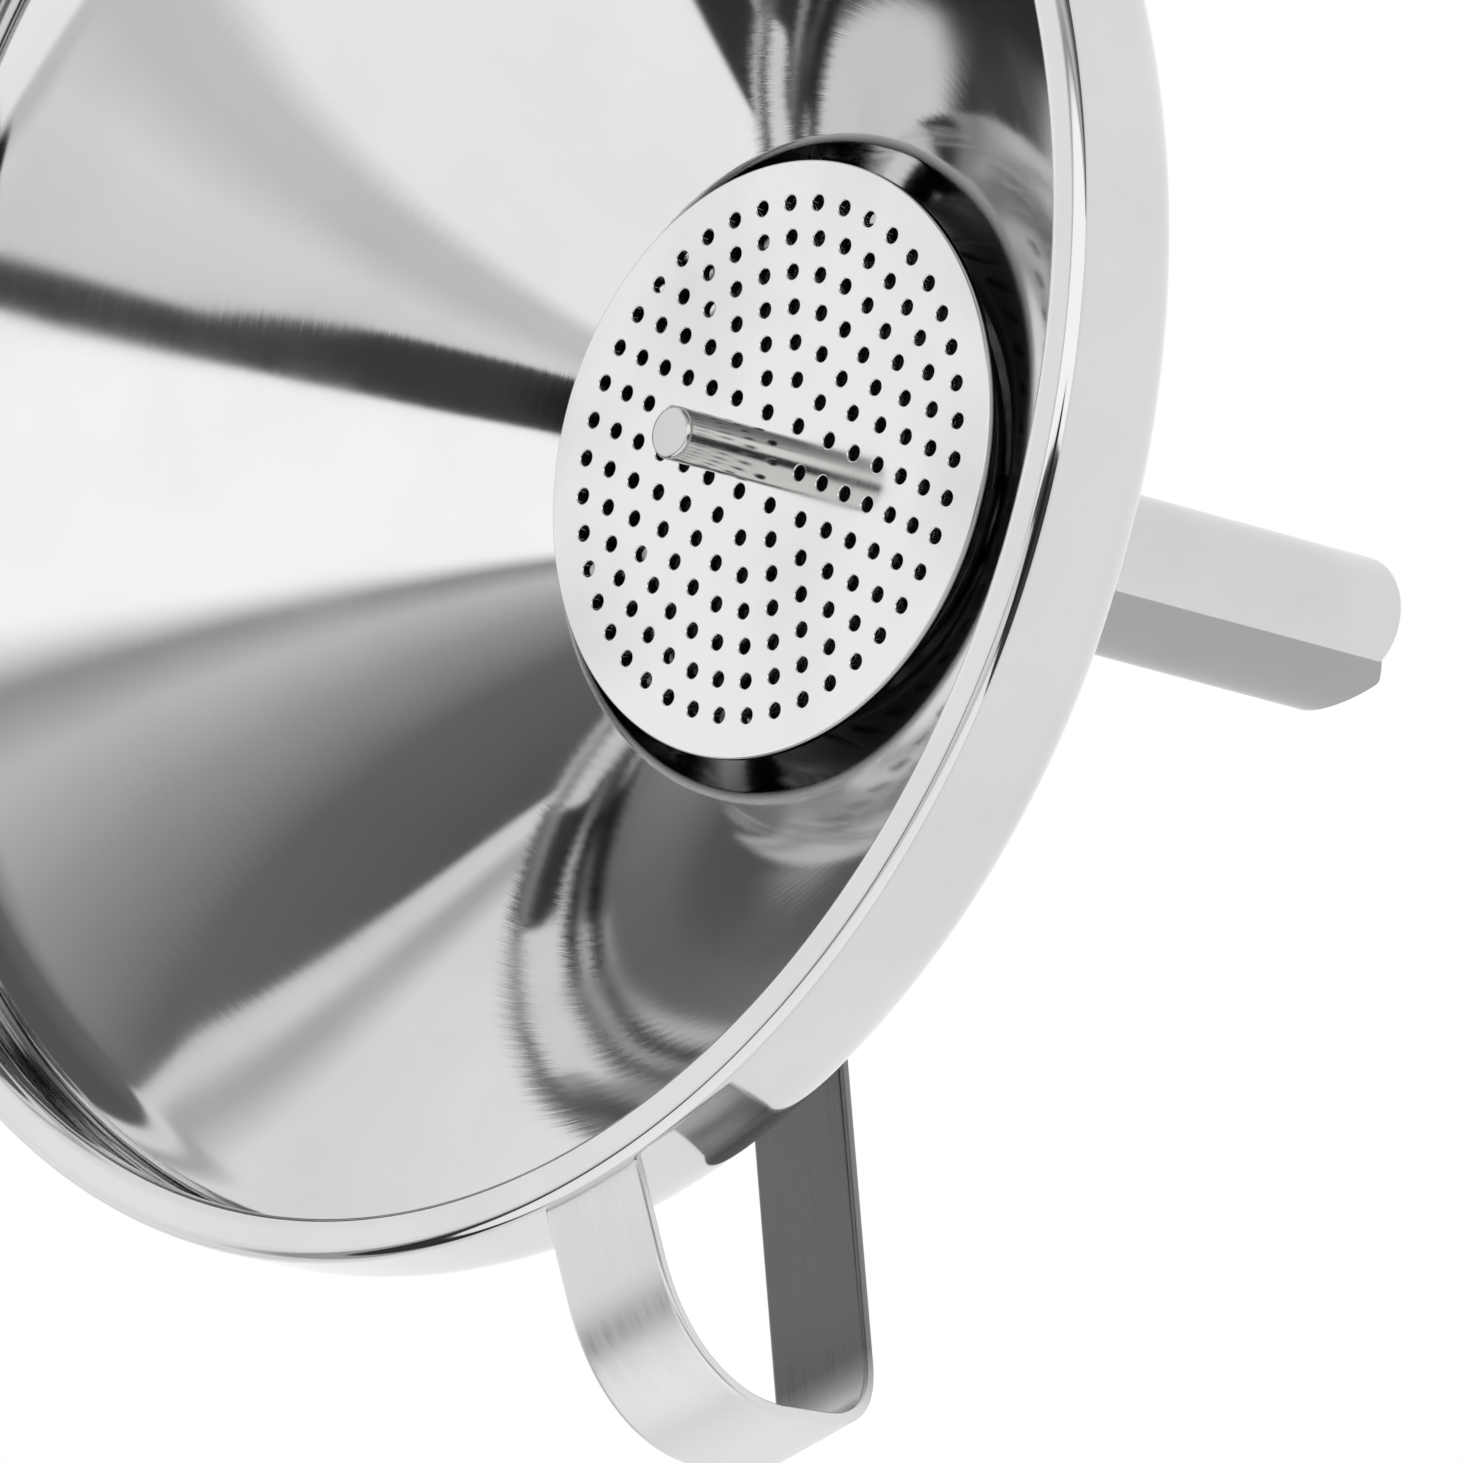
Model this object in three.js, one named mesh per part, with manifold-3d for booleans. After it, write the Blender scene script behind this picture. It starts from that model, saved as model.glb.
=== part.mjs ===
// Stainless steel funnel with a lift-out strainer of two punched discs.
//
// Frame: +Z runs along the funnel's axis towards the open mouth, and the origin is on the axis, level with
// the join between the cone and the spout. +X points at the strap handle. Sizes are in millimetres.

import * as THREE from "three";
import { mergeVertices } from "three/addons/utils/BufferGeometryUtils.js";
import Module from "manifold-3d";

const wasm = await Module();
wasm.setup();

// ---- driving dimensions -------------------------------------------------------------------------------
const MOUTH_RADIUS = 70; // outer radius of the rim
const SHEET = 0.8; // thickness of the drawn sheet
const RIM_WIDTH = 3.5; // radial width of the folded rim
const RIM_HEIGHT = 2.6; // height of the folded rim
const RIM_ROUND = 0.9; // rounding of the rim's edges
const BAND_DEPTH = 6.5; // from the rim's top face to the end of the upright band
const BAND_ROUND = 8; // outer radius of the turn from the band into the cone
const WALL_SLOPE = THREE.MathUtils.degToRad(25.5); // the cone's wall at the band, from the plane of the mouth
const WALL_CURVE = 0.005; // how fast the wall steepens inwards, per millimetre
const WALL_RADII = [62, 56, 50, 44, 38, 32, 26, 20, 14, 9]; // where the wall's curve is sampled
const NECK_RADIUS = 3.9; // outer radius of the drawn neck inside the spout
const NECK_LENGTH = 4; // how far the neck reaches into the spout
const SPOUT_RADIUS = 5; // outer radius of the spout
const SPOUT_LENGTH = 45.4; // spout below the cone
const VENT_ROUND = 3.9; // outer radius of the vent rib's half-round section
const VENT_REACH = 8.3; // furthest point of the vent rib from the axis
const VENT_TURN = THREE.MathUtils.degToRad(-30); // vent rib around the axis, from the handle
const VENT_CUT = 3.9; // height of the slanted cut at the vent rib's tip
const DISC_RADIUS = 23.9; // outer radius of the strainer disc
const DISC_DEPTH = 38.7; // middle of the strainer disc, below the rim's top face
const DISC_SHEET = 0.8; // thickness of both discs
const LOWER_RADIUS = 19.11; // outer radius of the lower sieve, which rests on the wall
const LOWER_STEP = 6; // lower sieve below the strainer disc
const LOWER_RINGS = 6; // rings of holes in the lower sieve
const HOLE_RADIUS = 0.62; // strainer holes
const HOLE_RINGS = 7; // rings of 6, 12, 18 ... holes in the strainer disc
const FIRST_RING = 3.8; // radius of the first ring of holes
const RING_PITCH = 2.785; // step from ring to ring
const HOLE_TURN = THREE.MathUtils.degToRad(-12.6); // ray on which every ring has a hole
const PIN_RADIUS = 2.15; // lifting pin
const PIN_HEIGHT = 11; // lifting pin above the disc
const PIN_CHAMFER = 0.35; // edge of the pin's end face
const SHANK_RADIUS = 1.2; // pin's shank through the discs
const SPACER_RADIUS = 2.15; // pin's collar between the discs
const RIVET_RADIUS = 2; // pin's flattened end under the lower sieve
const RIVET_HEIGHT = 0.7;
const STRAP_WIDTH = 10; // handle strap, measured around the funnel
const STRAP_THICK = 1;
const STRAP_ROOT_DEPTH = 1.6; // middle of the strap at the rim, below the rim's top face
const STRAP_REACH = 88.7; // furthest point of the strap's middle from the axis
const STRAP_BACK_DEPTH = 22.4; // where the back leg's line crosses the furthest point's radius
const STRAP_MEET = 39.8; // radius at which the back leg meets the cone
const STRAP_FOOT = 7; // radial length of the strap's foot on the cone
const FIT = 0.3; // gap between round faces that are welded or rest on each other
const FLAT_FIT = 0.05; // gap between flat faces that rest on each other
const ROUND_STEPS = 72; // facets around the funnel
const SMALL_STEPS = 32; // facets around the spout and the pin
const HOLE_STEPS = 6; // facets around a strainer hole

// ---- levels worked out from them ----------------------------------------------------------------------
const QUARTER = Math.PI / 2;
const wallEnd = MOUTH_RADIUS - BAND_ROUND + BAND_ROUND * Math.sin(WALL_SLOPE);
const wallEndDepth = BAND_DEPTH + BAND_ROUND * Math.cos(WALL_SLOPE);

// The wall is a trumpet: its slope grows from the band towards the spout.
const slopeAt = (radius) => Math.tan(WALL_SLOPE) + 2 * WALL_CURVE * (wallEnd - radius);
const wallDepth = (radius) => wallEndDepth + ((Math.tan(WALL_SLOPE) + slopeAt(radius)) / 2) * (wallEnd - radius);
const mouthLevel = wallDepth(SPOUT_RADIUS);

// Heights of the wall's outer and inner surfaces at a radius.
const coneOuter = (radius) => mouthLevel - wallDepth(radius);
const coneInner = (radius) => coneOuter(radius) + SHEET * Math.hypot(1, slopeAt(radius));

const discBottom = mouthLevel - DISC_DEPTH - DISC_SHEET / 2;
const lowerBottom = discBottom - LOWER_STEP;

// ---- helpers ------------------------------------------------------------------------------------------
const at = (x, y) => new THREE.Vector2(x, y);
const steel = (color, roughness) => new THREE.MeshStandardMaterial({ color, roughness, metalness: 1 });

function node(name, geometry, material) {
  const mesh = new THREE.Mesh(geometry, material);
  mesh.name = name;
  return mesh;
}

// Points of an arc about (x, y) from one angle to another, both ends included.
function arc(x, y, radius, from, to, steps) {
  const points = [];
  for (let i = 0; i <= steps; i += 1) {
    const angle = THREE.MathUtils.lerp(from, to, i / steps);
    points.push(at(x + radius * Math.cos(angle), y + radius * Math.sin(angle)));
  }
  return points;
}

// A closed profile of (radius, height) points turned about +Z.
function turned(profile, steps) {
  const outward = THREE.ShapeUtils.area(profile) > 0 ? profile : [...profile].reverse();
  const geometry = new THREE.LatheGeometry([...outward, outward[0]], steps);
  return geometry.rotateX(QUARTER);
}

// A flat outline of (radius, height) points given a width across it, centred on the XZ plane.
function upright(outline, width) {
  const geometry = new THREE.ExtrudeGeometry(new THREE.Shape(outline), { depth: width, bevelEnabled: false });
  return geometry.translate(0, 0, -width / 2).rotateX(QUARTER);
}

function toSolid(geometry) {
  const bare = geometry.clone();
  bare.deleteAttribute("normal");
  bare.deleteAttribute("uv");
  const merged = mergeVertices(bare, 1e-4);
  const corners = merged.index.array;
  const kept = [];
  for (let i = 0; i < corners.length; i += 3) {
    const [a, b, c] = corners.slice(i, i + 3);
    if (a !== b && b !== c && c !== a) {
      kept.push(a, b, c);
    }
  }
  const vertProperties = new Float32Array(merged.attributes.position.array);
  return new wasm.Manifold(new wasm.Mesh({ numProp: 3, vertProperties, triVerts: new Uint32Array(kept) }));
}

function toGeometry(solid) {
  const mesh = solid.getMesh();
  const geometry = new THREE.BufferGeometry();
  geometry.setAttribute("position", new THREE.BufferAttribute(mesh.vertProperties, 3));
  geometry.setIndex(new THREE.BufferAttribute(mesh.triVerts, 1));
  geometry.computeVertexNormals();
  return geometry;
}

// ---- funnel body: rim, band, cone and neck drawn from one sheet ----------------------------------------
function funnelBody() {
  const bandTurn = WALL_SLOPE - QUARTER;
  const roundCentre = MOUTH_RADIUS - BAND_ROUND;
  const roundLevel = mouthLevel - BAND_DEPTH;
  const outerRim = MOUTH_RADIUS - RIM_ROUND;
  const innerRim = MOUTH_RADIUS - RIM_WIDTH + RIM_ROUND;
  const upperRim = mouthLevel - RIM_ROUND;
  const lowerRim = mouthLevel - RIM_HEIGHT + RIM_ROUND;
  const neckInner = NECK_RADIUS - SHEET;
  const profile = [
    at(NECK_RADIUS, -NECK_LENGTH),
    at(NECK_RADIUS, coneOuter(NECK_RADIUS)),
    ...[...WALL_RADII].reverse().map((radius) => at(radius, coneOuter(radius))),
    ...arc(roundCentre, roundLevel, BAND_ROUND, bandTurn, 0, 6),
    ...arc(outerRim, upperRim, RIM_ROUND, 0, QUARTER, 3),
    ...arc(innerRim, upperRim, RIM_ROUND, QUARTER, 2 * QUARTER, 3),
    ...arc(innerRim, lowerRim, RIM_ROUND, 2 * QUARTER, 3 * QUARTER, 3),
    at(MOUTH_RADIUS - SHEET, mouthLevel - RIM_HEIGHT),
    ...arc(roundCentre, roundLevel, BAND_ROUND - SHEET, 0, bandTurn, 6),
    ...WALL_RADII.map((radius) => at(radius, coneInner(radius))),
    at(neckInner, coneInner(neckInner)),
    at(neckInner, -NECK_LENGTH),
  ];
  return node("funnel_body", turned(profile, ROUND_STEPS), steel(0xd9dadb, 0.14));
}

// ---- spout: a plain tube over the neck, cut square at its tip -----------------------------------------
function spoutTube() {
  const bore = NECK_RADIUS + FIT;
  const profile = [
    at(bore, -SPOUT_LENGTH),
    at(SPOUT_RADIUS, -SPOUT_LENGTH),
    at(SPOUT_RADIUS, coneOuter(SPOUT_RADIUS) - FIT),
    at(bore, coneOuter(bore) - FIT),
  ];
  return node("spout_tube", turned(profile, SMALL_STEPS), steel(0xd6d7d8, 0.18));
}

// ---- vent rib: a half-round channel along the spout that lets air out, slanted at its tip --------------
function ventRib() {
  const centre = VENT_REACH - VENT_ROUND;
  const clear = SPOUT_RADIUS + FIT;
  const inside = VENT_ROUND - SHEET;
  // Angle about the section's centre at which a circle of it crosses the circle that clears the spout.
  const crossing = (radius) => Math.acos((clear ** 2 - centre ** 2 - radius ** 2) / (2 * centre * radius));
  const section = [
    ...arc(centre, 0, VENT_ROUND, -crossing(VENT_ROUND), crossing(VENT_ROUND), 14),
    ...arc(centre, 0, inside, crossing(inside), -crossing(inside), 12),
  ];
  const length = SPOUT_LENGTH + coneOuter(VENT_REACH);
  const channel = new THREE.ExtrudeGeometry(new THREE.Shape(section), { depth: length, bevelEnabled: false });
  channel.translate(0, 0, -SPOUT_LENGTH);
  const beyond = 2 * VENT_REACH;
  const cutSlope = VENT_CUT / (VENT_REACH - SPOUT_RADIUS);
  const cutLevel = (radius) => (radius - SPOUT_RADIUS) * cutSlope - SPOUT_LENGTH;
  const tip = upright([at(0, cutLevel(0)), at(0, -length - beyond), at(beyond, cutLevel(beyond))], beyond);
  const underside = [
    ...[0, 4, 6, 8, 10, beyond].map((radius) => at(radius, coneOuter(radius) - FIT)),
    at(0, coneOuter(beyond) + beyond),
  ];
  const solid = toSolid(channel).subtract(toSolid(tip)).subtract(toSolid(turned(underside, ROUND_STEPS)));
  const rib = node("vent_rib", toGeometry(solid), steel(0xcfd0d1, 0.2));
  rib.rotation.z = VENT_TURN;
  return rib;
}

// ---- handle: one bent strap, its front end on the rim and its foot on the cone -------------------------

// The strap's middle line in the plane through the axis, as (radius, height).
function strapRoute() {
  const level = (depth) => mouthLevel - depth;
  const footLift = (radius) => (FIT + STRAP_THICK / 2) * Math.hypot(1, slopeAt(radius));
  const onCone = (radius) => at(radius, coneOuter(radius) - footLift(radius));
  // The back leg runs inwards and down until it meets the line that lies along the cone.
  const legStart = level(STRAP_BACK_DEPTH);
  const legSlope = (legStart - onCone(STRAP_MEET).y) / (STRAP_REACH - STRAP_MEET);
  const backLeg = (radius) => at(radius, legStart - (STRAP_REACH - radius) * legSlope);
  const crownTop = at(STRAP_REACH, level(12.5));
  const crownEnd = at(STRAP_REACH - 0.3, level(17.5));
  const brow = at(STRAP_REACH - 11, level(STRAP_ROOT_DEPTH + 0.5));
  const route = new THREE.CurvePath();
  const join = (curve) => route.curves.push(curve);
  join(new THREE.LineCurve(at(MOUTH_RADIUS + FIT, level(STRAP_ROOT_DEPTH)), brow));
  join(new THREE.CubicBezierCurve(brow, at(84.3, level(2.6)), at(STRAP_REACH, level(6.6)), crownTop));
  join(new THREE.LineCurve(crownTop, crownEnd));
  join(new THREE.QuadraticBezierCurve(crownEnd, backLeg(STRAP_REACH - 0.6), backLeg(STRAP_REACH - 6)));
  join(new THREE.LineCurve(backLeg(STRAP_REACH - 6), backLeg(STRAP_MEET + 2)));
  join(new THREE.QuadraticBezierCurve(backLeg(STRAP_MEET + 2), onCone(STRAP_MEET), onCone(STRAP_MEET - 2)));
  join(new THREE.LineCurve(onCone(STRAP_MEET - 2), onCone(STRAP_MEET - STRAP_FOOT)));
  return route.getPoints(6);
}

// The line moved sideways by a distance, with its corners mitred.
function offsetLine(points, distance) {
  return points.map((point, i) => {
    const before = point.clone().sub(points[Math.max(i - 1, 0)]).normalize();
    const after = points[Math.min(i + 1, points.length - 1)].clone().sub(point).normalize();
    const along = before.clone().add(after).normalize();
    const stretch = 1 / Math.max(along.dot(before), along.dot(after));
    return at(point.x - along.y * distance * stretch, point.y + along.x * distance * stretch);
  });
}

function strapHandle() {
  const middle = strapRoute();
  const above = offsetLine(middle, STRAP_THICK / 2);
  const below = offsetLine(middle, -STRAP_THICK / 2);
  return node("strap_handle", upright([...above, ...below.reverse()], STRAP_WIDTH), steel(0xdcdcdc, 0.2));
}

// ---- strainer: two punched discs held on one lifting pin ------------------------------------------------
function punchedDisc(radius, bottom, rings) {
  const plate = new THREE.Shape(arc(0, 0, radius, 0, 4 * QUARTER, ROUND_STEPS).slice(1));
  const punch = (x, y, size, steps) => {
    plate.holes.push(new THREE.Path(arc(x, y, size, 0, 4 * QUARTER, steps).slice(1)));
  };
  punch(0, 0, SHANK_RADIUS + FIT, SMALL_STEPS / 2);
  for (let ring = 0; ring < rings; ring += 1) {
    const distance = FIRST_RING + ring * RING_PITCH;
    const count = 6 * (ring + 1);
    for (let i = 0; i < count; i += 1) {
      const angle = HOLE_TURN + (4 * QUARTER * i) / count;
      punch(distance * Math.cos(angle), distance * Math.sin(angle), HOLE_RADIUS, HOLE_STEPS);
    }
  }
  const sheet = new THREE.ExtrudeGeometry(plate, { depth: DISC_SHEET, bevelEnabled: false });
  return sheet.translate(0, 0, bottom);
}

function strainerDisc() {
  return node("strainer_disc", punchedDisc(DISC_RADIUS, discBottom, HOLE_RINGS), steel(0xe6e6e4, 0.12));
}

function lowerSieve() {
  return node("lower_sieve", punchedDisc(LOWER_RADIUS, lowerBottom, LOWER_RINGS), steel(0xd8d8d6, 0.2));
}

function liftingPin() {
  const shoulder = discBottom + DISC_SHEET + FLAT_FIT;
  const top = discBottom + DISC_SHEET + PIN_HEIGHT;
  const collarTop = discBottom - FLAT_FIT;
  const collarBottom = lowerBottom + DISC_SHEET + FLAT_FIT;
  const rivetTop = lowerBottom - FLAT_FIT;
  const profile = [
    at(0, rivetTop - RIVET_HEIGHT),
    at(RIVET_RADIUS - PIN_CHAMFER, rivetTop - RIVET_HEIGHT),
    at(RIVET_RADIUS, rivetTop - PIN_CHAMFER),
    at(RIVET_RADIUS, rivetTop),
    at(SHANK_RADIUS, rivetTop),
    at(SHANK_RADIUS, collarBottom),
    at(SPACER_RADIUS, collarBottom),
    at(SPACER_RADIUS, collarTop),
    at(SHANK_RADIUS, collarTop),
    at(SHANK_RADIUS, shoulder),
    at(PIN_RADIUS, shoulder),
    at(PIN_RADIUS, top - PIN_CHAMFER),
    at(PIN_RADIUS - PIN_CHAMFER, top),
    at(0, top),
  ];
  return node("lifting_pin", turned(profile, SMALL_STEPS), steel(0xc9c9c7, 0.22));
}

// ---- assembly -----------------------------------------------------------------------------------------
const funnel = new THREE.Group();
funnel.add(funnelBody(), spoutTube(), ventRib(), strapHandle());

const strainer = new THREE.Group();
strainer.add(strainerDisc(), lowerSieve(), liftingPin());

const group = new THREE.Group();
group.add(funnel, strainer);

export default group;
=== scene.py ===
"""Stainless steel funnel with a lift-out strainer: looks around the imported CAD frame.

Row frame, metres: +Z along the funnel's axis towards the mouth, +X towards the handle.
"""
import math

import bmesh
import bpy
from mathutils import Matrix, Vector


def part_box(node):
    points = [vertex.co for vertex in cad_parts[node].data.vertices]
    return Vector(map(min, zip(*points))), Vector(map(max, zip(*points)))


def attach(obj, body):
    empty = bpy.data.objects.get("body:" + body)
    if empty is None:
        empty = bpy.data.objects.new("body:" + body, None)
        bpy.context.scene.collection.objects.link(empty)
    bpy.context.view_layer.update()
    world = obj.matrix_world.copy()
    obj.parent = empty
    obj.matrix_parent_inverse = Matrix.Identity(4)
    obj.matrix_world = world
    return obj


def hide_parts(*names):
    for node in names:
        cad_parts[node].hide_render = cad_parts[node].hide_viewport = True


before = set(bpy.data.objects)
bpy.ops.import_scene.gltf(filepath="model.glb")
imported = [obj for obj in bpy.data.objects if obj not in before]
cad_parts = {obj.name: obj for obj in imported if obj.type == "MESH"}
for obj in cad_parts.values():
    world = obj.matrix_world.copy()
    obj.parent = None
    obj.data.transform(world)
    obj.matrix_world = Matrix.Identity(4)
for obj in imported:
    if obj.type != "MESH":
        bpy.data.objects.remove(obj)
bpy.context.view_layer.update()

# ---- sizes taken from the frame ------------------------------------------------------------------------
MM = 0.001
MOUTH_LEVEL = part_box("funnel_body")[1].z
MOUTH_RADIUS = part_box("funnel_body")[1].x
SPOUT_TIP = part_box("spout_tube")[0].z
SPOUT_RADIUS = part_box("spout_tube")[1].x
DISC_LOW, DISC_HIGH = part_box("strainer_disc")
DISC_RADIUS = DISC_HIGH.x
DISC_LEVEL = (DISC_LOW.z + DISC_HIGH.z) / 2
LOWER_LOW, LOWER_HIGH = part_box("lower_sieve")
LOWER_RADIUS = LOWER_HIGH.x
LOWER_LEVEL = (LOWER_LOW.z + LOWER_HIGH.z) / 2
PIN_LOW, PIN_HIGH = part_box("lifting_pin")
PIN_RADIUS = PIN_HIGH.x
STRAP_HALF_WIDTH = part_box("strap_handle")[1].y

# ---- sizes that repeat the CAD model's -----------------------------------------------------------------
SHEET = 0.8 * MM
FIT = 0.3 * MM
FLAT_FIT = 0.05 * MM
RIM_WIDTH = 3.5 * MM
RIM_HEIGHT = 2.6 * MM
RIM_ROUND = 1.0 * MM
BAND_DEPTH = 6.5 * MM
BAND_ROUND = 8 * MM
WALL_SLOPE = math.radians(25.5)
WALL_CURVE = 0.005 / MM
NECK_RADIUS = 3.9 * MM
NECK_LENGTH = 4 * MM
VENT_ROUND = 3.9 * MM
VENT_REACH = 8.3 * MM
VENT_TURN = math.radians(-30)
VENT_CUT = 3.9 * MM
DISC_SHEET = 0.8 * MM
HOLE_RADIUS = 0.62 * MM
HOLE_RINGS = 7
LOWER_RINGS = 6
FIRST_RING = 3.8 * MM
RING_PITCH = 2.785 * MM
HOLE_TURN = math.radians(-12.6)
SHANK_RADIUS = 1.2 * MM
RIVET_RADIUS = 2 * MM
SPACER_RADIUS = 2.15 * MM
STRAP_THICK = 1 * MM
STRAP_ROUND = 0.35 * MM
STRAP_ROOT_DEPTH = 1.6 * MM
STRAP_REACH = 88.7 * MM
STRAP_BACK_DEPTH = 22.4 * MM
STRAP_MEET = 39.8 * MM
STRAP_FOOT = 7 * MM

# ---- the camera, seen from the mouth's centre ------------------------------------------------------------
CAMERA_TURN = math.radians(55.2)  # around the axis, from the handle
CAMERA_TILT = math.radians(46.27)  # away from the axis
CAMERA_DISTANCE = 1.54
AXIS_IN_IMAGE = math.radians(165.58)  # where +Z points in the picture, from its right
MOUTH_IN_VIEW = (-23.92 * MM, 28.26 * MM)  # the mouth's centre, right of and above the picture's centre
FIELD = 1463 / 20000  # picture's width over distance

SMOOTH_ANGLE = math.radians(35)
LEVEL_FACE = 0.99999
ROUND_STEPS = 384
TUBE_STEPS = 128


WALL_END = MOUTH_RADIUS - BAND_ROUND + BAND_ROUND * math.sin(WALL_SLOPE)
WALL_END_DEPTH = BAND_DEPTH + BAND_ROUND * math.cos(WALL_SLOPE)


def slope_at(radius):
    """The wall's slope at a radius: it grows from the band towards the spout."""
    return math.tan(WALL_SLOPE) + 2 * WALL_CURVE * (WALL_END - radius)


def cone_outer(radius):
    mean_slope = (math.tan(WALL_SLOPE) + slope_at(radius)) / 2
    return MOUTH_LEVEL - WALL_END_DEPTH - mean_slope * (WALL_END - radius)


def cone_inner(radius):
    return cone_outer(radius) + SHEET * math.hypot(1, slope_at(radius))


def wall_radii(start, end, step=0.8 * MM):
    """Radii from start to end, neither of them included."""
    count = int(abs(end - start) / step)
    return [start + (end - start) * i / count for i in range(1, count)]


# ---- mesh helpers ----------------------------------------------------------------------------------------
def arc(x, y, radius, start, end, steps):
    """Points of an arc about (x, y), both ends included."""
    angles = [start + (end - start) * i / steps for i in range(steps + 1)]
    return [(x + radius * math.cos(a), y + radius * math.sin(a)) for a in angles]


def supported(profile, near=0.12 * MM, long=0.9 * MM, step=2.5 * MM):
    """Adds points near the ends of every long straight run, and along it, so smooth shading stays flat."""
    points = []
    for i, start in enumerate(profile):
        end = profile[(i + 1) % len(profile)]
        points.append(start)
        length = math.dist(start, end)
        if length > long:
            count = max(1, int(length / step))
            shares = [near / length] + [k / count for k in range(1, count)] + [1 - near / length]
            for share in shares:
                x = start[0] + (end[0] - start[0]) * share
                y = start[1] + (end[1] - start[1]) * share
                points.append((x, y))
    return points


def finish_mesh(bm, name):
    bmesh.ops.remove_doubles(bm, verts=bm.verts, dist=1e-8)
    bmesh.ops.dissolve_degenerate(bm, edges=bm.edges, dist=1e-8)
    bmesh.ops.recalc_face_normals(bm, faces=bm.faces)
    mesh = bpy.data.meshes.new(name)
    bm.to_mesh(mesh)
    bm.free()
    mesh.shade_smooth()
    mesh.set_sharp_from_angle(angle=SMOOTH_ANGLE)
    for polygon in mesh.polygons:
        if abs(polygon.normal.z) > LEVEL_FACE:
            polygon.use_smooth = False
    piece = bpy.data.objects.new(name, mesh)
    bpy.context.scene.collection.objects.link(piece)
    return piece


def add_loft(bm, rings, closed):
    """Joins equal rings of points with quads, in a closed ring of rings or else with both ends capped."""
    rows = [[bm.verts.new(p) for p in ring] for ring in rings]
    count = len(rows[0])
    pairs = list(zip(rows, rows[1:] + rows[:1])) if closed else list(zip(rows, rows[1:]))
    for row, after in pairs:
        for i in range(count):
            j = (i + 1) % count
            bm.faces.new((row[i], row[j], after[j], after[i]))
    if not closed:
        bm.faces.new(rows[0])
        bm.faces.new(rows[-1])


def add_turned(bm, profile, steps):
    """A closed (radius, height) profile turned about +Z."""
    rings = []
    for i in range(steps):
        angle = 2 * math.pi * i / steps
        rings.append([Vector((r * math.cos(angle), r * math.sin(angle), h)) for r, h in profile])
    add_loft(bm, rings, closed=True)


def turned(name, profile, steps):
    bm = bmesh.new()
    add_turned(bm, profile, steps)
    return finish_mesh(bm, name)


# ---- pieces ----------------------------------------------------------------------------------------------
def funnel_body():
    quarter = math.pi / 2
    turn = WALL_SLOPE - quarter
    centre = MOUTH_RADIUS - BAND_ROUND
    level = MOUTH_LEVEL - BAND_DEPTH
    outer_rim = MOUTH_RADIUS - RIM_ROUND
    inner_rim = MOUTH_RADIUS - RIM_WIDTH + RIM_ROUND
    upper_rim = MOUTH_LEVEL - RIM_ROUND
    lower_rim = MOUTH_LEVEL - RIM_HEIGHT + RIM_ROUND
    neck_inner = NECK_RADIUS - SHEET
    profile = [
        (NECK_RADIUS, -NECK_LENGTH),
        (NECK_RADIUS, cone_outer(NECK_RADIUS)),
        *[(r, cone_outer(r)) for r in wall_radii(NECK_RADIUS, WALL_END)],
        *arc(centre, level, BAND_ROUND, turn, 0, 20),
        *arc(outer_rim, upper_rim, RIM_ROUND, 0, quarter, 10),
        *arc(inner_rim, upper_rim, RIM_ROUND, quarter, 2 * quarter, 10),
        *arc(inner_rim, lower_rim, RIM_ROUND, 2 * quarter, 3 * quarter, 10),
        (MOUTH_RADIUS - SHEET, MOUTH_LEVEL - RIM_HEIGHT),
        *arc(centre, level, BAND_ROUND - SHEET, 0, turn, 20),
        *[(r, cone_inner(r)) for r in wall_radii(WALL_END - 0.3 * MM, neck_inner + 1.2 * MM)],
        (neck_inner + 1.2 * MM, cone_inner(neck_inner + 1.2 * MM)),
        (neck_inner + 0.4 * MM, cone_inner(neck_inner + 0.4 * MM) - 0.15 * MM),
        (neck_inner, cone_inner(neck_inner) - 0.5 * MM),
        (neck_inner, -NECK_LENGTH),
    ]
    return turned("funnel_shell", supported(profile), ROUND_STEPS)


def spout_tube():
    """The tube, with a small weld fillet where it meets the cone and a rounded square-cut tip."""
    bore = NECK_RADIUS + FIT
    wall = SPOUT_RADIUS - bore
    lip = 0.3 * wall
    fillet = 0.9 * MM
    top = cone_outer(SPOUT_RADIUS + fillet)
    profile = [
        *arc(bore + lip, SPOUT_TIP + lip, lip, math.pi, 1.5 * math.pi, 5),
        *arc(SPOUT_RADIUS - lip, SPOUT_TIP + lip, lip, -0.5 * math.pi, 0, 5),
        (SPOUT_RADIUS, top - 1.5 * fillet),
        (SPOUT_RADIUS + 0.12 * fillet, top - 0.9 * fillet),
        (SPOUT_RADIUS + 0.4 * fillet, top - 0.45 * fillet),
        (SPOUT_RADIUS + fillet, top),
        (bore, cone_outer(bore)),
    ]
    return turned("spout", supported(profile), TUBE_STEPS)


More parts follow.
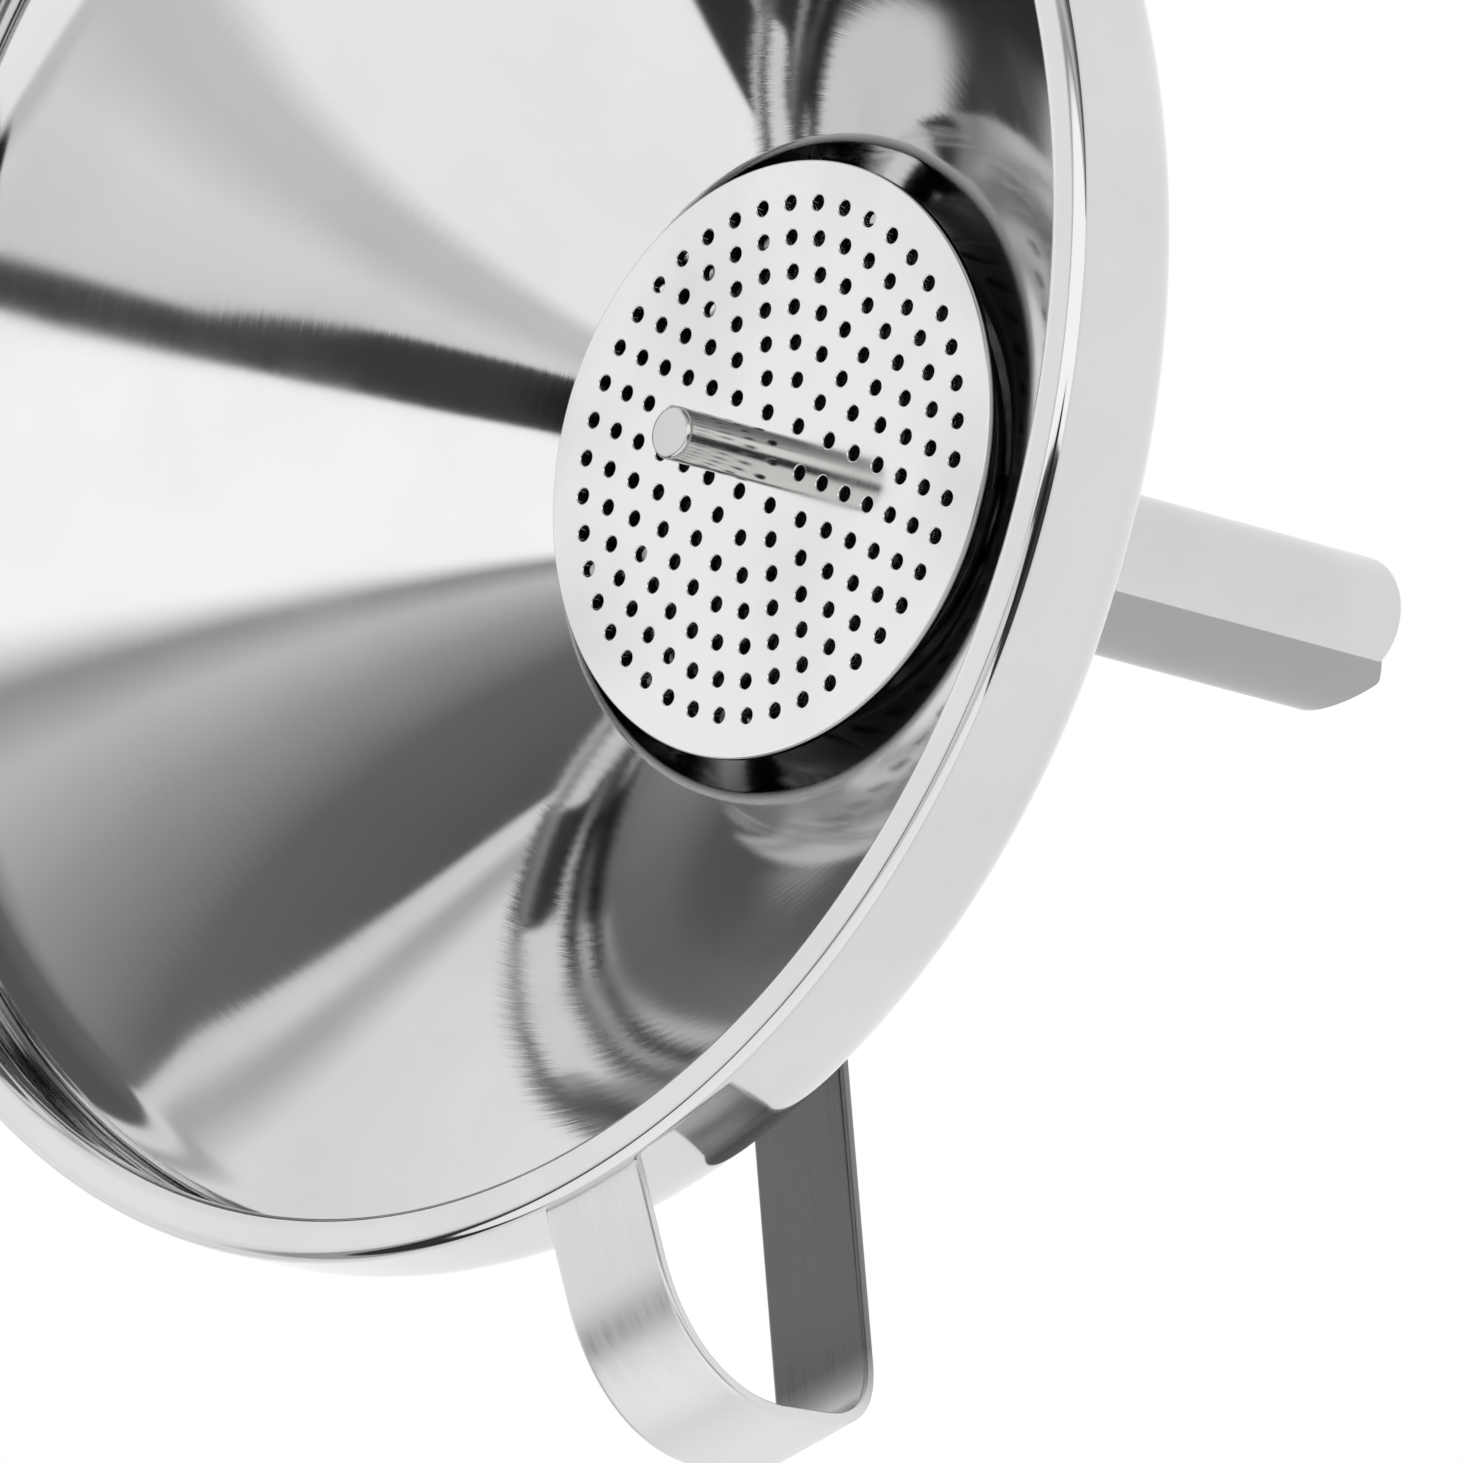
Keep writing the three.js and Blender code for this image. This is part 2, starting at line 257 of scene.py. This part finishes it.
def vent_rib():
    """A half-round channel on the spout: its root follows the cone and its tip is cut on a slant."""
    centre = VENT_REACH - VENT_ROUND
    buried = SPOUT_RADIUS - 0.25 * MM

    def crossing(radius):
        return math.acos((buried ** 2 - centre ** 2 - radius ** 2) / (2 * centre * radius))

    inside = VENT_ROUND - SHEET
    section = supported([
        *arc(centre, 0, VENT_ROUND, -crossing(VENT_ROUND), crossing(VENT_ROUND), 48),
        *arc(centre, 0, inside, crossing(inside), -crossing(inside), 40),
    ])
    cut_slope = VENT_CUT / (VENT_REACH - SPOUT_RADIUS)
    steps = 24
    rings = []
    for i in range(steps + 1):
        share = i / steps
        ring = []
        for x, y in section:
            low = SPOUT_TIP + max(0, x - SPOUT_RADIUS) * cut_slope
            high = cone_outer(math.hypot(x, y)) + 0.1 * MM
            ring.append(Vector((x, y, low + (high - low) * share)))
        rings.append(ring)
    bm = bmesh.new()
    add_loft(bm, rings, closed=False)
    bmesh.ops.rotate(bm, verts=bm.verts, cent=(0, 0, 0), matrix=Matrix.Rotation(VENT_TURN, 3, "Z"))
    return finish_mesh(bm, "air_rib")


def bezier(points, steps):
    """Points of a Bezier curve of any order, its first one left out."""
    found = []
    for i in range(1, steps + 1):
        t = i / steps
        row = [Vector(p) for p in points]
        while len(row) > 1:
            row = [a.lerp(b, t) for a, b in zip(row, row[1:])]
        found.append(row[0])
    return found


def strap_route():
    """The strap's middle line as (radius, height)."""

    def depth(below_mouth):
        return MOUTH_LEVEL - below_mouth

    def on_cone(radius):
        lift = (FLAT_FIT + STRAP_THICK / 2) * math.hypot(1, slope_at(radius))
        return Vector((radius, cone_outer(radius) - lift))

    leg_start = depth(STRAP_BACK_DEPTH)
    leg_slope = (leg_start - on_cone(STRAP_MEET).y) / (STRAP_REACH - STRAP_MEET)

    def back_leg(radius):
        return Vector((radius, leg_start - (STRAP_REACH - radius) * leg_slope))

    root = Vector((MOUTH_RADIUS - 0.2 * MM, MOUTH_LEVEL - STRAP_ROOT_DEPTH))
    brow = Vector((STRAP_REACH - 11 * MM, MOUTH_LEVEL - STRAP_ROOT_DEPTH - 0.5 * MM))
    crown_top = Vector((STRAP_REACH, depth(12.5 * MM)))
    crown_end = Vector((STRAP_REACH - 0.3 * MM, depth(17.5 * MM)))
    bend_end = back_leg(STRAP_REACH - 6 * MM)
    foot_start = back_leg(STRAP_MEET + 2 * MM)
    foot_bend = on_cone(STRAP_MEET - 2 * MM)
    route = [root]
    route += bezier([root, brow], 8)
    route += bezier([brow, (84.3 * MM, depth(2.6 * MM)), (STRAP_REACH, depth(6.6 * MM)), crown_top], 40)
    route += bezier([crown_top, crown_end], 6)
    route += bezier([crown_end, back_leg(STRAP_REACH - 0.6 * MM), bend_end], 24)
    route += bezier([bend_end, foot_start], 24)
    route += bezier([foot_start, on_cone(STRAP_MEET), foot_bend], 12)
    route += [on_cone(r) for r in wall_radii(STRAP_MEET - 2 * MM, STRAP_MEET - STRAP_FOOT)]
    return route


def strap_handle():
    route = strap_route()
    half = STRAP_THICK / 2
    section = []
    for corner in range(4):
        across = (1, -1, -1, 1)[corner] * (STRAP_HALF_WIDTH - STRAP_ROUND)
        through = (1, 1, -1, -1)[corner] * (half - STRAP_ROUND)
        start = corner * math.pi / 2
        section += arc(across, through, STRAP_ROUND, start, start + math.pi / 2, 5)
    rings = []
    for i, point in enumerate(route):
        along = (route[min(i + 1, len(route) - 1)] - route[max(i - 1, 0)]).normalized()
        ring = []
        for across, through in supported(section):
            ring.append(Vector((point.x - along.y * through, across, point.y + along.x * through)))
        rings.append(ring)
    bm = bmesh.new()
    add_loft(bm, rings, closed=False)
    return finish_mesh(bm, "handle")


def hole_centres(rings):
    yield 0, 0, SHANK_RADIUS
    for ring in range(rings):
        radius = FIRST_RING + ring * RING_PITCH
        count = 6 * (ring + 1)
        for i in range(count):
            angle = HOLE_TURN + 2 * math.pi * i / count
            yield radius * math.cos(angle), radius * math.sin(angle), HOLE_RADIUS


def punched_disc(name, radius, level, rings):
    """Punched sheet with softened edges, round the outside and in every hole."""
    edge = 0.12 * MM
    outline = bpy.data.curves.new(name + "_outline", "CURVE")
    outline.dimensions = "2D"
    outline.fill_mode = "BOTH"
    outline.extrude = DISC_SHEET / 2 - edge
    outline.bevel_depth = edge
    outline.bevel_resolution = 3
    outline.offset = -edge

    def add_circle(x, y, size, steps):
        spline = outline.splines.new("POLY")
        spline.points.add(steps - 1)
        spline.use_cyclic_u = True
        for i, point in enumerate(spline.points):
            angle = 2 * math.pi * i / steps
            point.co = (x + size * math.cos(angle), y + size * math.sin(angle), 0, 1)

    add_circle(0, 0, radius, 256)
    for x, y, size in hole_centres(rings):
        add_circle(x, y, size, 24)
    blank = bpy.data.objects.new(name + "_outline", outline)
    bpy.context.scene.collection.objects.link(blank)
    bpy.context.view_layer.update()
    sheet = bpy.data.meshes.new_from_object(blank.evaluated_get(bpy.context.evaluated_depsgraph_get()))
    bpy.data.objects.remove(blank)
    bpy.data.curves.remove(outline)
    bm = bmesh.new()
    bm.from_mesh(sheet)
    bpy.data.meshes.remove(sheet)
    bmesh.ops.translate(bm, verts=bm.verts, vec=(0, 0, level))
    return finish_mesh(bm, name)


def strainer_disc():
    return punched_disc("sieve_disc", DISC_RADIUS, DISC_LEVEL, HOLE_RINGS)


def lower_sieve():
    return punched_disc("sieve_under", LOWER_RADIUS, LOWER_LEVEL, LOWER_RINGS)


def lifting_pin():
    """The pin with its collar between the discs and its flattened end under them."""
    top = PIN_HIGH.z
    half = DISC_SHEET / 2
    shoulder = DISC_LEVEL + half
    chamfer = 0.35 * MM
    profile = [
        (0, PIN_LOW.z),
        *arc(RIVET_RADIUS - chamfer, PIN_LOW.z + chamfer, chamfer, -math.pi / 2, 0, 6),
        (RIVET_RADIUS, LOWER_LEVEL - half),
        (SHANK_RADIUS, LOWER_LEVEL - half),
        (SHANK_RADIUS, LOWER_LEVEL + half),
        (SPACER_RADIUS, LOWER_LEVEL + half),
        (SPACER_RADIUS, DISC_LEVEL - half),
        (SHANK_RADIUS, DISC_LEVEL - half),
        (SHANK_RADIUS, shoulder),
        (PIN_RADIUS, shoulder),
        *arc(PIN_RADIUS - chamfer, top - chamfer, chamfer, 0, math.pi / 2, 6),
        (0, top),
    ]
    return turned("lift_pin", supported(profile), 96)


# ---- materials -------------------------------------------------------------------------------------------
SPUN_LINES = 5200  # noise cells per metre, outwards and upwards
SPUN_REACH = 6  # noise cells from the axis to a unit circle, whatever the radius
BRUSHING = {"along": (2600, 2600, 60), "strap": (90, 4200, 90)}  # noise cells per metre in X, Y and Z
LINE_DEPTH = 0.002 * MM
WAVE_DEPTH = 0.02 * MM
# The dark grey of the painted shade on the disc's underside and on the strap's lower leg.
PAINTED_SHADE_GREY = (0.06, 0.06, 0.058, 1)


def link(tree, source, target):
    tree.links.new(source, target)


def math_node(tree, operation, first, second):
    """first and second are each a number or a socket."""
    node = tree.nodes.new("ShaderNodeMath")
    node.operation = operation
    for value, socket in zip((first, second), node.inputs):
        if isinstance(value, (int, float)):
            socket.default_value = value
        else:
            link(tree, value, socket)
    return node.outputs[0]


def vector_node(tree, operation, source):
    node = tree.nodes.new("ShaderNodeVectorMath")
    node.operation = operation
    link(tree, source, node.inputs[0])
    return node


def noise(tree, place, scale, detail, roughness=0.5, distortion=0.0):
    node = tree.nodes.new("ShaderNodeTexNoise")
    node.inputs["Scale"].default_value = scale
    node.inputs["Detail"].default_value = detail
    node.inputs["Roughness"].default_value = roughness
    node.inputs["Distortion"].default_value = distortion
    link(tree, place, node.inputs["Vector"])
    return node.outputs["Fac"]


def share_of(tree, source, low, high, at_low=0.0, at_high=1.0):
    """Runs from at_low, where source is low, to at_high, and is held beyond them."""
    node = tree.nodes.new("ShaderNodeMapRange")
    node.inputs["From Min"].default_value = low
    node.inputs["From Max"].default_value = high
    node.inputs["To Min"].default_value = at_low
    node.inputs["To Max"].default_value = at_high
    link(tree, source, node.inputs["Value"])
    return node.outputs[0]


def bump(tree, height, depth):
    node = tree.nodes.new("ShaderNodeBump")
    node.inputs["Strength"].default_value = 1
    node.inputs["Distance"].default_value = depth
    link(tree, height, node.inputs["Height"])
    return node


def spun_place(tree, place, split):
    """Noise coordinates whose cells are thin rings about +Z."""
    flat = vector_node(tree, "MULTIPLY", place)
    flat.inputs[1].default_value = (1, 1, 0)
    radius = vector_node(tree, "LENGTH", flat.outputs[0])
    around = vector_node(tree, "NORMALIZE", flat.outputs[0])
    spread = vector_node(tree, "SCALE", around.outputs[0])
    spread.inputs["Scale"].default_value = SPUN_REACH
    turn = tree.nodes.new("ShaderNodeSeparateXYZ")
    link(tree, spread.outputs[0], turn.inputs[0])
    outwards = math_node(tree, "ADD", radius.outputs["Value"], split.outputs["Z"])
    stretched = tree.nodes.new("ShaderNodeCombineXYZ")
    link(tree, turn.outputs["X"], stretched.inputs["X"])
    link(tree, turn.outputs["Y"], stretched.inputs["Y"])
    link(tree, math_node(tree, "MULTIPLY", outwards, SPUN_LINES), stretched.inputs["Z"])
    return stretched.outputs[0]


def brushed_place(tree, split, cells):
    """Noise coordinates whose cells are stretched along an axis."""
    stretched = tree.nodes.new("ShaderNodeCombineXYZ")
    for axis, amount in zip("XYZ", cells):
        link(tree, math_node(tree, "MULTIPLY", split.outputs[axis], amount), stretched.inputs[axis])
    return stretched.outputs[0]


def steel(name, color, roughness, grain, line_depth, smudge, darker=None):
    """Polished stainless steel. grain says how the brushing runs, and darker paints shade on one side in a
    dark grey.
    """
    material = bpy.data.materials.new(name)
    material.use_nodes = True
    tree = material.node_tree
    shader = tree.nodes["Principled BSDF"]
    shader.inputs["Metallic"].default_value = 1
    place = tree.nodes.new("ShaderNodeTexCoord").outputs["Object"]
    split = tree.nodes.new("ShaderNodeSeparateXYZ")
    link(tree, place, split.inputs[0])
    if grain == "round":
        stretched = spun_place(tree, place, split)
    else:
        stretched = brushed_place(tree, split, BRUSHING[grain])

    # Brushing and cloudy smudges make the surface rougher in places.
    lines = noise(tree, stretched, 1, 3, roughness=0.65)
    cloud = noise(tree, place, 45, 4, distortion=0.6)
    fine_rough = share_of(tree, lines, 0.3, 0.7, roughness * 0.85, roughness * 1.15)
    marks = share_of(tree, cloud, 0.5, 0.8, 0, smudge)
    link(tree, math_node(tree, "ADD", fine_rough, marks), shader.inputs["Roughness"])

    # Stains and the painted shade on one side change its colour.
    stain = noise(tree, place, 60, 5)
    tinted = tree.nodes.new("ShaderNodeVectorMath")
    tinted.operation = "SCALE"
    tinted.inputs[0].default_value = color
    link(tree, share_of(tree, stain, 0.42, 0.72, 1, 1 - smudge), tinted.inputs["Scale"])
    if darker is None:
        link(tree, tinted.outputs[0], shader.inputs["Base Color"])
    else:
        sides = tree.nodes.new("ShaderNodeMix")
        sides.data_type = "RGBA"
        link(tree, darker(tree, split), sides.inputs["Factor"])
        link(tree, tinted.outputs[0], sides.inputs["A"])
        sides.inputs["B"].default_value = PAINTED_SHADE_GREY
        link(tree, sides.outputs["Result"], shader.inputs["Base Color"])

    # The brushing is a fine relief on top of slight waves in the sheet.
    dents = bump(tree, noise(tree, place, 70, 1), WAVE_DEPTH)
    grooves = bump(tree, lines, line_depth)
    link(tree, dents.outputs[0], grooves.inputs["Normal"])
    link(tree, grooves.outputs[0], shader.inputs["Normal"])
    return material


# Painted shade: the disc turns dark grey from its top face down to its underside, so its reflection in the
# cone's wall shows dark.
def painted_shade_under_disc(tree, place):
    half = DISC_SHEET / 2
    return share_of(tree, place.outputs["Z"], DISC_LEVEL + 0.95 * half, DISC_LEVEL - 0.95 * half)


def painted_shade_back_leg(tree, place):
    """The strap's lower leg is painted darker than its front, up to the crown: painted shade for the dark
    cone it mirrors there.
    """
    low = share_of(tree, place.outputs["Z"], MOUTH_LEVEL - 19.5 * MM, MOUTH_LEVEL - 22.5 * MM)
    inner = share_of(tree, place.outputs["X"], STRAP_REACH - 1 * MM, STRAP_REACH - 7 * MM, 0, 0.78)
    return math_node(tree, "MULTIPLY", low, inner)


def funnel_steel():
    return steel("funnel_steel", (0.69, 0.69, 0.685), 0.06, "round", 0.0016 * MM, 0.06)


def spout_steel():
    return steel("spout_steel", (0.66, 0.66, 0.66), 0.16, "along", LINE_DEPTH, 0.08)


# The rib's steel is painted darker than the spout's: painted shade for the darker reflections it shows.
def rib_steel():
    return steel("rib_steel", (0.38, 0.38, 0.38), 0.24, "along", LINE_DEPTH, 0.1)


def strap_steel():
    return steel("strap_steel", (0.72, 0.72, 0.715), 0.3, "strap", LINE_DEPTH, 0.06, painted_shade_back_leg)


def disc_steel():
    return steel("disc_steel", (0.77, 0.77, 0.76), 0.1, "round", 0.0005 * MM, 0.14, painted_shade_under_disc)


def sieve_steel():
    return steel("sieve_steel", (0.10, 0.10, 0.10), 0.3, "round", LINE_DEPTH, 0.1)


def pin_steel():
    return steel("pin_steel", (0.62, 0.62, 0.61), 0.16, "round", LINE_DEPTH, 0.08)


# ---- studio ----------------------------------------------------------------------------------------------
# Greys of the two halves of a level ceiling, as (place, grey), where 1 is the ceiling's height. The fill's
# places lie across the camera's plane, and the key's are counted from the slanted edge of its box.
FILL_CEILING = [(-1.6, 1.15), (-0.44, 1.12), (-0.36, 0.74), (-0.26, 0.72), (-0.16, 0.92), (0.0, 0.84)]
KEY_CEILING = [(-0.03, 1.3), (0.0, 1.1), (0.07, 0.36), (0.20, 0.68), (0.45, 0.42), (0.9, 0.17), (2.0, 0.12)]
KEY_EDGE = 0.427  # where the key's box ends beside the funnel, and how much its edge slants
KEY_SLANT = 0.646
GAP_LOW = 0.005  # the dark gap between the lights, and how fast it widens towards the camera
GAP_HIGH = 0.047
GAP_WIDENS_LOW = 0.36
GAP_WIDENS_HIGH = 0.135
GAP_BEND = 0.3
GAP_GREY = 0.055
ROOM_ANGLES = (math.radians(14), math.radians(11))  # where the dark room round the camera starts and is full
ROOM_GREY = 0.02
# Greys behind the edges of the pale backdrop, as (degrees past the edge, grey).
KEY_WALL = [(0, 0.85), (4, 0.9), (7, 0.55), (9, 0.55), (14, 0.95), (60, 1.1)]
FILL_WALL = [(0, 0.04), (13, 0.04), (14, 0.45), (21, 0.4), (28, 0.95), (60, 1.1)]
KEY_WALL_EDGE = 105.8  # degrees from the camera, and how many degrees the edge leans over the sky's height
KEY_WALL_LEAN = 33.3
KEY_WALL_BEND = 0.63  # height above which that edge leans more
KEY_WALL_BENT = 120
FILL_WALL_EDGE = 98.4
FILL_WALL_LEAN = 39
FLOOR_DROP = 0.35
FLOOR_RADIUS = 6
LAMP_SIZE = 3
LAMP_HEIGHT = 3
LAMP_POWER = 38


def camera_axes():
    """The camera's right, up and back directions in the row frame."""
    axis = Vector((0, 0, 1))
    near = Vector((math.cos(CAMERA_TURN), math.sin(CAMERA_TURN), 0))
    side = Vector((-math.sin(CAMERA_TURN), math.cos(CAMERA_TURN), 0))
    tilt, turn = CAMERA_TILT, AXIS_IN_IMAGE
    across = math.sin(tilt) * axis - math.cos(tilt) * near
    right = math.cos(turn) * across + math.sin(turn) * side
    up = math.sin(turn) * across - math.cos(turn) * side
    back = math.cos(tilt) * axis + math.sin(tilt) * near
    return right, up, back


def add_camera():
    right, up, back = camera_axes()
    data = bpy.data.cameras.new("camera")
    data.sensor_width = 36
    data.lens = data.sensor_width / FIELD
    data.clip_start = 0.05
    data.clip_end = 50
    camera = bpy.data.objects.new("camera", data)
    bpy.context.scene.collection.objects.link(camera)
    mouth = Vector((0, 0, MOUTH_LEVEL))
    place = mouth - right * MOUTH_IN_VIEW[0] - up * MOUTH_IN_VIEW[1] + back * CAMERA_DISTANCE
    turn = Matrix((right, up, back)).transposed().to_4x4()
    camera.matrix_world = Matrix.Translation(place) @ turn
    bpy.context.scene.camera = camera


def grey_ramp(tree, source, pairs):
    """Greys along source, from (place, grey) pairs in order."""
    start = pairs[0][0]
    span = pairs[-1][0] - start
    stops = [((place - start) / span, (grey, grey, grey, 1)) for place, grey in pairs]
    node = tree.nodes.new("ShaderNodeValToRGB")
    elements = node.color_ramp.elements
    elements[0].position, elements[0].color = stops[0]
    elements[1].position, elements[1].color = stops[-1]
    for position, color in stops[1:-1]:
        elements.new(position).color = color
    share = math_node(tree, "DIVIDE", math_node(tree, "SUBTRACT", source, start), span)
    link(tree, share, node.inputs["Fac"])
    return node.outputs["Color"]


def soft_step(tree, source, low, high):
    node = tree.nodes.new("ShaderNodeMapRange")
    node.interpolation_type = "SMOOTHSTEP"
    node.inputs["From Min"].default_value = low
    node.inputs["From Max"].default_value = high
    link(tree, source, node.inputs["Value"])
    return node.outputs[0]


def grey_mix(tree, share, first, second):
    """first and second are each a grey or a colour socket."""
    node = tree.nodes.new("ShaderNodeMix")
    node.data_type = "RGBA"
    link(tree, share, node.inputs["Factor"])
    for value, socket in ((first, node.inputs["A"]), (second, node.inputs["B"])):
        if isinstance(value, (int, float)):
            socket.default_value = (value, value, value, 1)
        else:
            link(tree, value, socket)
    return node.outputs["Result"]


def lit_ceiling(tree, direction):
    """Two lights on a level ceiling: forward is towards the camera, across is to its right."""
    rise = math_node(tree, "MAXIMUM", direction.outputs["Z"], 0.02)
    forward = math_node(tree, "DIVIDE", direction.outputs["X"], rise)
    across = math_node(tree, "DIVIDE", direction.outputs["Y"], rise)
    fill = grey_ramp(tree, across, FILL_CEILING)
    edge = math_node(tree, "ADD", math_node(tree, "MULTIPLY", forward, KEY_SLANT), KEY_EDGE)
    key = grey_ramp(tree, math_node(tree, "SUBTRACT", across, edge), KEY_CEILING)
    lights = grey_mix(tree, soft_step(tree, across, -0.01, 0.01), fill, key)

    # A dark gap between the two lights widens towards the camera.
    past = math_node(tree, "MAXIMUM", math_node(tree, "SUBTRACT", forward, GAP_BEND), 0.0)
    gap_low = math_node(tree, "SUBTRACT", GAP_LOW, math_node(tree, "MULTIPLY", past, GAP_WIDENS_LOW))
    gap_high = math_node(tree, "ADD", GAP_HIGH, math_node(tree, "MULTIPLY", forward, GAP_WIDENS_HIGH))
    above_low = soft_step(tree, math_node(tree, "SUBTRACT", across, gap_low), -0.012, 0.006)
    below_high = soft_step(tree, math_node(tree, "SUBTRACT", gap_high, across), -0.003, 0.003)
    between = math_node(tree, "MULTIPLY", above_low, below_high)
    gap = math_node(tree, "MULTIPLY", between, soft_step(tree, forward, -0.25, -0.05))
    return grey_mix(tree, gap, lights, GAP_GREY)


def add_backdrop(tree, direction, room):
    """A pale backdrop stands behind the funnel. Its edges lean, and a dark stand holds one of them."""
    turn = math_node(tree, "ARCTAN2", direction.outputs["Y"], direction.outputs["X"])
    degrees = math_node(tree, "MULTIPLY", turn, 180 / math.pi)
    height = direction.outputs["Z"]
    lean = math_node(tree, "ADD", math_node(tree, "MULTIPLY", height, KEY_WALL_LEAN), KEY_WALL_EDGE)
    upper = math_node(tree, "MAXIMUM", math_node(tree, "SUBTRACT", height, KEY_WALL_BEND), 0.0)
    key_edge = math_node(tree, "ADD", lean, math_node(tree, "MULTIPLY", upper, KEY_WALL_BENT))
    fill_edge = math_node(tree, "ADD", math_node(tree, "MULTIPLY", height, FILL_WALL_LEAN), FILL_WALL_EDGE)
    past_key = math_node(tree, "SUBTRACT", degrees, key_edge)
    past_fill = math_node(tree, "SUBTRACT", math_node(tree, "MULTIPLY", degrees, -1), fill_edge)
    key_side = grey_ramp(tree, past_key, KEY_WALL)
    fill_side = grey_ramp(tree, past_fill, FILL_WALL)
    with_key = grey_mix(tree, soft_step(tree, past_key, -1, 1), room, key_side)
    return grey_mix(tree, soft_step(tree, past_fill, -1, 1), with_key, fill_side)


def studio_world():
    world = bpy.data.worlds.new("studio")
    bpy.context.scene.world = world
    world.use_nodes = True
    tree = world.node_tree
    background = tree.nodes["Background"]
    place = tree.nodes.new("ShaderNodeTexCoord")
    turned_view = tree.nodes.new("ShaderNodeVectorRotate")
    turned_view.rotation_type = "Z_AXIS"
    turned_view.inputs["Angle"].default_value = -CAMERA_TURN
    link(tree, place.outputs["Generated"], turned_view.inputs["Vector"])
    direction = tree.nodes.new("ShaderNodeSeparateXYZ")
    link(tree, turned_view.outputs[0], direction.inputs[0])

    # The camera stands in a small dark area.
    to_camera = vector_node(tree, "DOT_PRODUCT", turned_view.outputs[0])
    to_camera.inputs[1].default_value = (math.sin(CAMERA_TILT), 0, math.cos(CAMERA_TILT))
    outer, inner = ROOM_ANGLES
    near_camera = soft_step(tree, to_camera.outputs["Value"], math.cos(outer), math.cos(inner))
    room = grey_mix(tree, near_camera, lit_ceiling(tree, direction), ROOM_GREY)
    link(tree, add_backdrop(tree, direction, room), background.inputs["Color"])
    background.inputs["Strength"].default_value = 1


def add_floor():
    bm = bmesh.new()
    bmesh.ops.create_circle(bm, cap_ends=True, segments=96, radius=FLOOR_RADIUS)
    mesh = bpy.data.meshes.new("floor")
    bm.to_mesh(mesh)
    bm.free()
    floor = bpy.data.objects.new("floor", mesh)
    floor.location.z = SPOUT_TIP - FLOOR_DROP
    bpy.context.scene.collection.objects.link(floor)
    material = bpy.data.materials.new("floor")
    material.use_nodes = True
    shader = material.node_tree.nodes["Principled BSDF"]
    shader.inputs["Base Color"].default_value = (0.93, 0.93, 0.93, 1)
    shader.inputs["Roughness"].default_value = 0.9
    shader.inputs["Specular IOR Level"].default_value = 0
    floor.data.materials.append(material)


def add_overhead():
    """A wide, soft light over the table. It isn't seen in the steel, which mirrors the studio instead."""
    data = bpy.data.lights.new("overhead", "AREA")
    data.shape = "DISK"
    data.size = LAMP_SIZE
    data.energy = LAMP_POWER
    lamp = bpy.data.objects.new("overhead", data)
    lamp.location = (0, 0, LAMP_HEIGHT)
    lamp.visible_glossy = False
    bpy.context.scene.collection.objects.link(lamp)


# ---- assembly --------------------------------------------------------------------------------------------
add_camera()
studio_world()
add_floor()
add_overhead()
bpy.context.scene.view_settings.view_transform = "Standard"

PIECES = [
    (funnel_body, funnel_steel, "funnel", "funnel_body", "funnel_steel"),
    (spout_tube, spout_steel, "funnel", "spout_tube", "spout_steel"),
    (vent_rib, rib_steel, "funnel", "vent_rib", "rib_steel"),
    (strap_handle, strap_steel, "funnel", "strap_handle", "strap_steel"),
    (strainer_disc, disc_steel, "strainer", "strainer_disc", "disc_steel"),
    (lower_sieve, sieve_steel, "strainer", "lower_sieve", "sieve_steel"),
    (lifting_pin, pin_steel, "strainer", "lifting_pin", "pin_steel"),
]
for make, look, body, node, slot in PIECES:
    piece = make()
    piece.data.materials.append(look())
    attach(piece, body)
    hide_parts(node)
